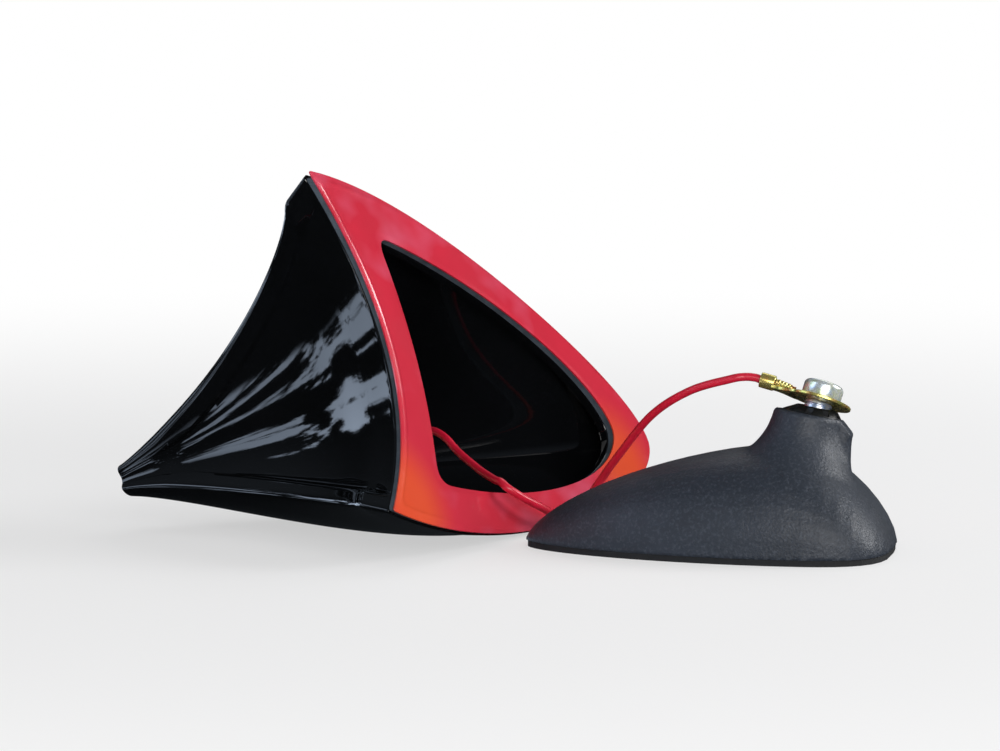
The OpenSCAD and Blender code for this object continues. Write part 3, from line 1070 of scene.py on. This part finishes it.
@dataclass
class Base:
    """The grained roof base with its slotted mast seat, in millimetres."""

    place: Matrix = field(default_factory=lambda: pose((4.57, -23.451, 0), (0, 0, -10)))
    seat: Matrix = field(default_factory=lambda: pose((55.2, 0, 27), (-6, 10.5, 0)))
    voxel: float = 0.42
    seat_radius: float = 6.7
    blend_reach: float = 15
    blend_top: float = -2.6
    blend_foot: float = -16
    foot_edge: float = 1.8
    collar_radius: float = 5.8
    collar_top: float = 3.8
    collar_bore: float = 3.15
    collar_height: float = 1.5
    collar_offset: float = 0.7
    insert_offset: float = 1.4
    slots: int = 9
    slot_width: float = 1.3
    slot_floor: float = 0.2
    slot_root: float = 4.2
    collar_sink: float = 0.6
    collar_steps: int = 108
    collar_bevel: Pair = (0.15, 0.2)
    collar_lip: Pair = (0.25, 0.12)
    edge_fade: float = 2
    top_fade: float = 1.5
    foot_fade: float = 3
    reach_fade: float = 4
    seat_fade: float = 1
    edge_passes: int = 4
    blend_passes: int = 90

    def seat_place(self) -> Matrix:
        """Gives the pose of the mast seat."""
        return self.place @ self.seat

    def body(self, node: Piece) -> Piece:
        """Models the domed body: the seat flows into the dome without a crease.

        Args:
            node: The solid that gives the body's form.

        Returns:
            The blended body, cut off flat and closed at the seat's face, where the collar sits.
        """
        piece = copy_of(node, "base_body")
        place = self.seat_place()
        spot, up = place.translation * MM, place.to_3x3() @ Vector((0, 0, 1))
        apply(piece, "REMESH", mode="VOXEL", voxel_size=self.voxel * MM)
        inverse = place.inverted()
        group, raised = piece.vertex_groups.new(name="blend"), piece.vertex_groups.new(name="raised")
        for vertex in piece.data.vertices:
            local = inverse @ (vertex.co / MM)
            if vertex.co.z > self.foot_edge * MM:
                share = smooth((vertex.co.z / MM - self.foot_edge) / self.edge_fade)
                raised.add([vertex.index], share, "REPLACE")
            away = math.hypot(local.x, local.y)
            share = smooth((self.blend_top - local.z) / self.top_fade)
            share *= smooth((local.z - self.blend_foot) / self.foot_fade)
            share *= smooth((self.blend_reach - away) / self.reach_fade)
            share *= smooth((away - self.seat_radius + self.top_fade) / self.seat_fade)
            if share > 0:
                group.add([vertex.index], share, "REPLACE")
        apply(piece, "SMOOTH", factor=0.5, iterations=self.edge_passes, vertex_group="raised")
        apply(piece, "SMOOTH", factor=0.5, iterations=self.blend_passes, vertex_group="blend")

        def level_off() -> None:
            """Cuts the body off at the seat's face and closes it."""
            bpy.ops.mesh.bisect(plane_co=spot, plane_no=up, clear_outer=True, threshold=WELD)
            bpy.ops.mesh.fill()

        edit(piece, level_off, outward)
        shade(piece, 40)
        return piece

    def ring(self, radius: float, height: float, shift: float) -> Ring:
        """Draws one round ring of the collar."""
        angles = [math.tau * k / self.collar_steps for k in range(self.collar_steps)]
        return [(shift + radius * math.cos(a), radius * math.sin(a), height) for a in angles]

    def collar(self) -> Piece:
        """Models the slotted locking collar on the seat.

        Returns:
            The collar, which leans in towards the insert, with its locking slots cut.
        """
        top, foot = self.collar_height, -self.collar_sink
        (draw_in, rise), (lip, drop) = self.collar_bevel, self.collar_lip
        edge = self.collar_radius
        outside = ((edge, foot), (edge, 0.0), (edge - draw_in, rise))
        inside = ((self.collar_top + lip, top - drop), (self.collar_top, top), (self.collar_bore, top),
                  (self.collar_bore, foot))
        rings = [self.ring(radius, height, self.collar_offset) for radius, height in outside]
        rings += [self.ring(radius, height, self.insert_offset) for radius, height in inside]
        piece = skin("locking_collar", rings + rings[:1], self.seat_place())
        size = (2 * self.collar_radius, self.slot_width, 2 * self.collar_height)
        middle = Matrix.Translation((self.slot_root + self.collar_radius, 0,
                                     self.slot_floor + self.collar_height))
        cutters = []
        for k in range(self.slots):
            turn = pose((self.insert_offset, 0, 0), (0, 0, 360 * (k + 0.5) / self.slots))
            cutters.append(block("slot", size, self.seat_place() @ turn @ middle))
        cut(piece, cutters)
        return piece

    def build(self, nodes: dict) -> None:
        """Builds and dresses the base.

        Args:
            nodes: The frame's nodes by name.
        """
        body, collar = self.body(nodes["base_housing"]), self.collar()
        # ABS from a spark-eroded tool, a matt blue-grey black with pale specks painted in as the grain's
        # glints
        grain = SparkGrain("spark-grained ABS", "#2a303a", "#232932", 0.5, patch_mm=14, grain_mm=0.35,
                           relief_mm=0.07, pit_mm=0.6, pit_depth_mm=0.05, sheen_spread=0.08,
                           settings={"IOR": 1.5})
        dress(body, grain.make())
        # ABS from a plain tool, smoother and darker, so the collar reads as a second surface
        plain = Finish("moulded black ABS", "#141619", "#0f1113", 0.38, patch_mm=3, relief_mm=0.006)
        dress(collar, plain.make())
        for piece in (body, collar):
            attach(piece, BODY)
            LOG.info("made %s", piece.name)
        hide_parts("base_housing")


@dataclass
class MastFittings:
    """The plated insert, the ring terminal with its crimps and the clamp screw, in millimetres.

    Rows of pairs give how far a point lies in from the outside, or from an end, and its height, its drop or
    how much it shrinks the radius there.
    """

    seat: Matrix
    insert: Matrix = field(default_factory=lambda: pose((1.4, 0, 0), (-12, 4.5, 0)))
    insert_radius: float = 2.7
    insert_rise: float = 2.5
    insert_depth: float = 9
    screw_radius: float = 2
    screw_length: float = 9
    pitch: float = 0.7
    head_radius: float = 3.9
    shoulder: float = 0.95
    crown: float = 0.25
    head_height: float = 3.6
    recess: float = 0.8
    ring_radius: float = 6.2
    sheet: float = 0.6
    reach: float = 12.2
    grip: float = 2.9
    grip_radius: float = 1.5
    core: float = 0.55
    core_height: float = 1.15
    ribs: int = 5
    bore_gap: float = 0.05
    sleeve_rows: tuple[Pair, ...] = (
        (0, 1.1), (0.25, 0.95), (0.25, 0.8), (0, 0.65), (0, 0.3), (0.1, 0.1), (0.3, 0))
    thread_depth: float = 0.35
    tip_chamfer: float = 0.6
    tip_lead: float = 0.4
    thread_end: float = 0.5
    shank_end: float = 0.2
    head_rows: tuple[Pair, ...] = ((0.35, 0), (0.12, 0.12), (0, 0.4))
    head_turn: float = 78
    crown_share: float = 0.45
    crown_drop: float = 0.06
    recess_turns: Pair = (20, 110)
    recess_share: float = 1.05
    recess_height: float = 3
    recess_rise: float = 0.2
    sheet_soft: float = 0.12
    neck_start: float = 4.6
    neck_overlap: float = 0.4
    neck_half: float = 1.32
    neck_flare: float = 2.75
    neck_power: float = 1.25
    neck_hurry: float = 1.15
    neck_soft: float = 0.08
    neck_levels: int = 15
    crimp_start: float = 0.15
    crimp_extra: float = 0.45
    crimp_half: float = 1.3
    crimp_levels: int = 64
    crimp_floor: float = 0.05
    rib_depth: float = 0.2
    rib_power: float = 0.6
    lobe_taper: float = 0.12
    end_draw: float = 0.15
    lobe_lift: float = 0.2
    lobe_drop: float = 0.25
    lobe_offset: float = 0.62
    lobe_radius: float = 0.82
    lobe_steps: int = 14
    lobe_from: float = -55
    lobe_to: float = 200
    barrel_seam: float = 97
    barrel_wall: float = 0.98
    barrel_steps: int = 60
    barrel_front: tuple[Pair, ...] = ((0, 0.1), (0.1, 0.02), (0.3, 0))
    barrel_back: tuple[Pair, ...] = ((0.3, 0), (0.1, 0.03), (0, 0.14))

    def place(self, rise: float = 0.0) -> Matrix:
        """Gives the pose of the insert's axis, raised by a height."""
        return self.seat @ self.insert @ Matrix.Translation((0, 0, rise))

    def threaded(self, radius: float, low: float, high: float) -> list[Pair]:
        """Draws a threaded flank.

        Args:
            radius: The thread's outer radius.
            low: The height of its lower end.
            high: The height of its upper end.

        Returns:
            A crest and a root for each turn.
        """
        turns = round(abs(high - low) / self.pitch)
        step = (high - low) / turns
        return [point for k in range(turns) for point in
                ((radius, low + step * (k + 0.15)), (radius - self.thread_depth, low + step * (k + 0.65)))]

    def sleeve(self) -> Piece:
        """Models the insert, with a groove below its top.

        Returns:
            The turned insert.
        """
        low, high, bore = -self.insert_depth, self.insert_rise, self.screw_radius + self.bore_gap
        profile = [(bore, low), (self.insert_radius, low)]
        profile += [(self.insert_radius - inset, high - drop) for inset, drop in self.sleeve_rows]
        return turned("threaded_insert", profile + [(bore, high)], self.place())

    def screw(self) -> Piece:
        """Models the screw with its thread, rounded head and cross recess.

        Returns:
            The turned and cut screw.
        """
        tip = -self.screw_length - self.sheet
        place = self.place(self.insert_rise + self.sheet)
        shoulder = self.head_height - self.crown - self.shoulder
        profile = [(0, tip), (self.screw_radius - self.tip_chamfer, tip)]
        profile += self.threaded(self.screw_radius, tip + self.tip_lead, -self.thread_end)
        profile += [(self.screw_radius, -self.shank_end), (self.screw_radius, 0)]
        profile += [(self.head_radius - inset, rise) for inset, rise in self.head_rows]
        profile += arc((self.head_radius - self.shoulder, shoulder), self.shoulder, 0, self.head_turn, 8)
        profile += [(self.head_radius * self.crown_share, self.head_height - self.crown_drop),
                    (0, self.head_height)]
        piece = turned("clamp_screw_turned", profile, place)
        size = (self.head_radius * self.recess_share, self.recess, self.recess_height)
        for turn in self.recess_turns:
            spot = pose((0, 0, self.head_height + self.recess_rise), (0, 0, turn))
            cut(piece, [block("recess", size, place @ spot)])
        return piece

    def loop_of_sheet(self) -> Piece:
        """Models the terminal's flat ring.

        Returns:
            The turned ring, with softened edges.
        """
        soft, bore, edge = self.sheet_soft, self.screw_radius + 2 * self.bore_gap, self.ring_radius
        top = self.sheet
        profile = [(bore + soft, 0), (edge - soft, 0), (edge, soft), (edge, top - soft), (edge - soft, top),
                   (bore + soft, top), (bore, top - soft), (bore, soft)]
        return turned("terminal_ring", profile, self.place(self.insert_rise), 128)

    def neck(self) -> Piece:
        """Models the flat neck that narrows from the ring to the crimps.

        Returns:
            The neck, with softened edges.
        """
        rings = []
        soft, run = self.neck_soft, self.reach - self.grip + self.neck_overlap - self.neck_start
        for share in spread(0, 1, self.neck_levels):
            x = -self.neck_start - run * share
            half = self.neck_half + self.neck_flare * (1 - smooth(share * self.neck_hurry)) ** self.neck_power
            top = self.sheet + soft * smooth(share)
            right = [(half - soft, 0), (half, soft), (half, top - soft), (half - soft, top)]
            left = [(-y, z) for y, z in right[::-1]]
            rings.append([(x, y, z) for y, z in left[2:] + right + left[:2]])
        return skin("terminal_neck", rings, self.place(self.insert_rise))

    def core_crimp(self) -> Piece:
        """Models the crimp on the bare strands.

        Returns:
            The crimp, with its two rolled lobes and its pressed ribs.
        """
        rings = []
        start = self.crimp_start + self.grip - self.reach
        for share in spread(0, 1, self.crimp_levels):
            x = start + (self.grip + self.crimp_extra) * share
            rib = (1 + math.cos(math.tau * self.ribs * share)) / 2
            swell = 1 - self.rib_depth * (1 - rib**self.rib_power) - self.lobe_taper * share
            ends = smooth(share * 12) * smooth((1 - share) * 12)
            radius = self.lobe_radius * swell * (1 - self.end_draw * (1 - ends))
            middle = self.core_height + self.lobe_lift - self.lobe_drop * share
            turns = [math.radians(a) for a in spread(self.lobe_from, self.lobe_to, self.lobe_steps)]
            lobe = [(self.lobe_offset + radius * math.cos(a), middle + radius * math.sin(a)) for a in turns]
            rings.append([(x, way * self.crimp_half, self.crimp_floor) for way in (-1, 1)]
                         + [(x, y, z) for y, z in lobe] + [(x, -y, z) for y, z in lobe[::-1]])
        return skin("core_crimp", rings, self.place(self.insert_rise), 50)

    def barrel(self) -> Piece:
        """Models the rolled barrel that grips the insulation.

        Returns:
            The barrel, with its seam on top and its ends drawn in.
        """
        bore = self.grip_radius - (self.grip_radius - self.core) * self.barrel_wall
        turns = [math.radians(a) for a in spread(self.barrel_seam, 540 - self.barrel_seam, self.barrel_steps)]
        rings = []
        for x, shrink in (*self.barrel_front, *((self.grip - x, shrink) for x, shrink in self.barrel_back)):
            outline = [(self.grip_radius - shrink, a) for a in turns]
            outline += [(bore + shrink / 2, a) for a in turns[::-1]]
            rings.append([(x - self.reach, radius * math.cos(a), self.core_height + radius * math.sin(a))
                          for radius, a in outline])
        return skin("insulation_barrel", rings, self.place(self.insert_rise), 40)

    def terminal(self) -> Piece:
        """Joins the parts of the terminal's one folded sheet.

        Returns:
            The terminal.
        """
        piece = joined([self.loop_of_sheet(), self.neck(), self.core_crimp(), self.barrel()])
        piece.name = piece.data.name = "folded_terminal"
        return piece

    def build(self) -> None:
        """Builds and dresses the fittings."""
        # Zinc plate under thin films: steel with pink and blue casts, brass with green and orange ones, and
        # the head's paler plate with green and blue
        steel = Passivated("blue-passivated steel", "#d5d8dc", "#b9bdc3", 0.3, 0.7, patch_mm=1.5,
                           grain_mm=0.4, relief_mm=0.004, casts=("#d8a9b4", "#9fb6d8"), cast_mm=1.4,
                           cast_share=0.8)
        yellow = Passivated("yellow-chromated brass", "#e6d988", "#d2c066", 0.28, 0.85, patch_mm=2,
                            grain_mm=0.7, relief_mm=0.002, casts=("#bfc672", "#e6b068"), cast_mm=1.8)
        head = Passivated("clear-chromated zinc", "#e6e8dc", "#d6e0e6", 0.26, 0.6, patch_mm=2,
                          grain_mm=0.4, relief_mm=0.003, casts=("#bfd0a0", "#b7c9e4"), cast_mm=1.6,
                          cast_share=0.75)
        rows = ((self.sleeve(), steel, Slot.INSERT, "mast_insert"),
                (self.screw(), head, Slot.ZINC, "clamp_screw"),
                (self.terminal(), yellow, Slot.ZINC, "ring_terminal"))
        for piece, finish, slot, node in rows:
            dress(piece, finish.make())
            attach(piece, BODY)
            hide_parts(node)
            LOG.info("made %s", piece.name)


@dataclass
class Studio:
    """Plain floor, soft lights and the camera at the photograph's viewing angle, in metres.

    A lamp's row gives its name, its place, the point it faces, its two sides and its power in watts.
    """

    eye: Point = (-0.00053, -1.18145, 0.1652)
    tilt_down: float = 6.5
    focal_pixels: float = 6000
    image_width: float = 1000
    sensor: float = 36
    world_level: float = 0.3
    shade_colour: str = "#1e2124"
    sky_colour: str = "#565d66"
    sky_low: float = 0.25
    sky_high: float = 0.85
    streak_colour: str = "#b4c4da"
    streak_level: float = 5.5
    streak_size: float = 0.24
    streak_stretch: float = 0.16
    streak_turn: Point = (0.0, -24.0, -55.0)
    streak_seed: float = 7.3
    floor_glow: float = 0.55
    glow_reach: Pair = (0.12, 0.5)
    floor_size: float = 12
    streak_limits: Pair = (0.53, 0.57)
    streak_detail: float = 6
    streak_falloff: float = 0.62
    masks: tuple[tuple[str, float, float], ...] = (("X", -0.3, -0.5), ("Z", -0.32, -0.24), ("Z", 0.75, 0.55))
    lamps: tuple[tuple[str, Point, Point, Pair, float], ...] = (
        ("front", (0.3, -1.25, 0.36), (0.02, 0, 0.03), (1.0, 0.5), 11),
        ("right", (1.15, 0.1, 0.5), (0.03, -0.02, 0.03), (0.7, 0.5), 11),
        ("back rim", (0.3, 0.8, 0.8), (0, 0, 0.03), (0.8, 0.4), 2),
    )

    def camera(self) -> None:
        """Creates the camera."""
        data = bpy.data.cameras.new("eye")
        data.sensor_width = self.sensor
        data.lens = self.focal_pixels / self.image_width * self.sensor
        data.clip_start = 0.05
        data.clip_end = 20
        eye = bpy.data.objects.new("eye", data)
        eye.location = self.eye
        eye.rotation_euler = (math.radians(90 - self.tilt_down), 0, 0)
        bpy.context.scene.collection.objects.link(eye)
        bpy.context.scene.camera = eye

    def floor(self) -> None:
        """Lays the pale floor."""
        bpy.ops.mesh.primitive_plane_add(size=self.floor_size, location=(0, 0, 0))
        floor = bpy.context.active_object
        floor.name = "floor"
        paper = Finish("pale paper", "#ececed", "#e9e9ea", 0.7, patch_mm=300, grain_mm=2, relief_mm=0.01)
        material = paper.make()
        self.whiten(material)
        floor.data.materials.append(material)

    def whiten(self, material: bpy.types.Material) -> None:
        """Lets the floor run out to white, and keeps it out of the gloss surfaces.

        Args:
            material: The floor's material.
        """
        tree = material.node_tree
        shader = next(n for n in tree.nodes if n.type == "BSDF_PRINCIPLED")
        recipe = Recipe(tree, shader)
        length = {"operation": "LENGTH"}
        away = recipe.add("ShaderNodeVectorMath", length, n_0=recipe.place()).outputs["Value"]
        near, far = self.glow_reach
        limits = {"interpolation_type": "SMOOTHSTEP", FROM_LOW: near, FROM_HIGH: far, TO_LOW: self.floor_glow}
        share = recipe.add("ShaderNodeMapRange", limits, Value=away).outputs[0]
        path = recipe.add("ShaderNodeLightPath").outputs
        seen = recipe.add("ShaderNodeMath", {"operation": "MULTIPLY"}, n_0=share, n_1=path["Is Camera Ray"])
        white = recipe.add("ShaderNodeEmission", {"Color": (1, 1, 1, 1)}).outputs[0]
        clear = recipe.add("ShaderNodeBsdfTransparent").outputs[0]
        lit = recipe.add("ShaderNodeMixShader", n_0=seen.outputs[0], n_1=shader.outputs[0], n_2=white)
        last = recipe.add("ShaderNodeMixShader", n_0=path["Is Glossy Ray"], n_1=lit.outputs[0], n_2=clear)
        output = next(n for n in tree.nodes if n.type == "OUTPUT_MATERIAL")
        tree.links.new(last.outputs[0], output.inputs["Surface"])

    def lamp(self, name: str, spot: Sequence[float], target: Sequence[float], size: Pair,
             power: float) -> None:
        """Hangs one soft rectangular light.

        Args:
            name: The lamp's name.
            spot: Where it hangs, in metres.
            target: The point that it faces.
            size: Its two sides, in metres.
            power: Its power in watts.
        """
        data = bpy.data.lights.new(name, "AREA")
        data.shape = "RECTANGLE"
        data.size, data.size_y = size
        data.energy = power
        lamp = bpy.data.objects.new(name, data)
        facing = (Vector(target) - Vector(spot)).to_track_quat("-Z", "Y").to_matrix().to_4x4()
        lamp.matrix_world = Matrix.Translation(spot) @ facing
        bpy.context.scene.collection.objects.link(lamp)

    def lights(self) -> None:
        """Sets the world and the lamps."""
        world = bpy.data.worlds.new("studio")
        bpy.context.scene.world = world
        world.use_nodes = True
        tree = world.node_tree
        recipe = Recipe(tree, tree.nodes["Background"])
        way = recipe.add("ShaderNodeTexCoord").outputs["Generated"]
        height = recipe.add("ShaderNodeSeparateXYZ", Vector=way).outputs["Z"]
        limits = {"interpolation_type": "SMOOTHSTEP", FROM_LOW: self.sky_low, FROM_HIGH: self.sky_high}
        share = recipe.add("ShaderNodeMapRange", limits, Value=height).outputs[0]
        sky = {"data_type": "RGBA", FIRST: linear(self.shade_colour), SECOND: linear(self.sky_colour)}
        mirrored = recipe.add("ShaderNodeMix", sky, n_0=share).outputs[MIXED]
        streaked = self.streaks(recipe, mirrored)
        glossy = recipe.add("ShaderNodeLightPath").outputs["Is Glossy Ray"]
        level = {"data_type": "RGBA", FIRST: (self.world_level, self.world_level, self.world_level, 1)}
        recipe.feed("Color", recipe.add("ShaderNodeMix", level, n_0=glossy, n_7=streaked).outputs[MIXED])
        for row in self.lamps:
            self.lamp(*row)

    def streaks(self, recipe: Recipe, mirrored: Socket) -> Socket:
        """Adds the light that falls between far trees on the left, as the gloss surfaces mirror it.

        Args:
            recipe: The world's nodes.
            mirrored: The plain sky that the gloss surfaces mirror.

        Returns:
            The sky with its streaks.
        """
        way = recipe.add("ShaderNodeTexCoord").outputs["Generated"]
        turn = {"vector_type": "TEXTURE", "Rotation": [math.radians(a) for a in self.streak_turn]}
        along = recipe.add("ShaderNodeMapping", turn, Vector=way).outputs[0]
        shape = {"Scale": (self.streak_stretch, 1, 1), "Location": (0, self.streak_seed, 0)}
        drawn = recipe.add("ShaderNodeMapping", shape, Vector=along).outputs[0]
        settings = {"Scale": 1 / self.streak_size, "Detail": self.streak_detail,
                    "Roughness": self.streak_falloff}
        noise = recipe.add("ShaderNodeTexNoise", settings, Vector=drawn).outputs[0]
        limits = dict(zip((FROM_LOW, FROM_HIGH), self.streak_limits))
        share = recipe.add("ShaderNodeMapRange", limits, Value=noise).outputs[0]
        parts = recipe.add("ShaderNodeSeparateXYZ", Vector=way).outputs
        for axis, start, end in self.masks:
            limits = {"interpolation_type": "SMOOTHSTEP", FROM_LOW: start, FROM_HIGH: end}
            mask = recipe.add("ShaderNodeMapRange", limits, Value=parts[axis]).outputs[0]
            share = recipe.add("ShaderNodeMath", {"operation": "MULTIPLY"}, n_0=share, n_1=mask).outputs[0]
        bright = [value * self.streak_level for value in linear(self.streak_colour)[:3]] + [1]
        settings = {"data_type": "RGBA", SECOND: bright}
        return recipe.add("ShaderNodeMix", settings, n_0=share, n_6=mirrored).outputs[MIXED]

    def build(self) -> None:
        """Builds the whole studio."""
        self.camera()
        self.floor()
        self.lights()
        bpy.context.scene.view_settings.view_transform = "Standard"


@dataclass
class PlainParts:
    """The pieces that keep their solid's own shape: the strip, its joints, the plate and the gasket."""

    def looks(self) -> dict[str, tuple[Finish, Slot]]:
        """Gives the finish and slot of each piece.

        Returns:
            By node: bright rolled copper, milky glue, dull tin, red-brown strands, grey as-cast zinc with an
            uneven sheen, and dead matt rubber, each with its slot.
        """
        return {
            "aerial_strip": (Finish("rolled copper", "#c07a45", "#a8653a", 0.3, 1.0, patch_mm=5, grain_mm=0.3,
                                    relief_mm=0.006), Slot.COPPER),
            "strip_glue": (Finish("hot-melt glue", "#d9cfa8", "#cdbf92", 0.35, patch_mm=4, grain_mm=2,
                                  relief_mm=0.05, settings={"Subsurface Weight": 0.2}), Slot.GLUE),
            "strip_solder": (Finish("tin solder", "#c3c6ca", "#a9adb3", 0.28, 1.0, patch_mm=1, grain_mm=0.4,
                                    relief_mm=0.01), Slot.SOLDER),
            "wire_core": (Finish("copper strands", "#d08a4e", "#b06c38", 0.3, 1.0, patch_mm=0.5, grain_mm=0.2,
                                 relief_mm=0.02), Slot.COPPER),
            "base_plate": (Finish("die-cast zinc", "#93969b", "#7f8287", 0.5, 1.0, patch_mm=7, grain_mm=0.5,
                                  relief_mm=0.02, sheen_spread=0.16), Slot.CAST),
            "base_gasket": (Finish("gasket rubber", "#1c1d1f", "#161719", 0.8, patch_mm=6, grain_mm=0.5,
                                   relief_mm=0.02), Slot.GASKET),
        }

    def build(self, nodes: dict) -> None:
        """Dresses the pieces.

        Args:
            nodes: The frame's nodes by name.
        """
        for name, (finish, slot) in self.looks().items():
            dress(nodes[name], finish.make())
            LOG.info("dressed %s", name)


def main() -> None:
    """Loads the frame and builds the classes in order."""
    logging.basicConfig(level=logging.INFO, format="%(name)s: %(message)s")
    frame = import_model()
    Studio().build()
    Lead().build()
    Cover().build()
    base = Base()
    base.build(frame["nodes"])
    MastFittings(base.seat_place()).build()
    PlainParts().build(frame["nodes"])


if __name__ == "__main__":
    main()
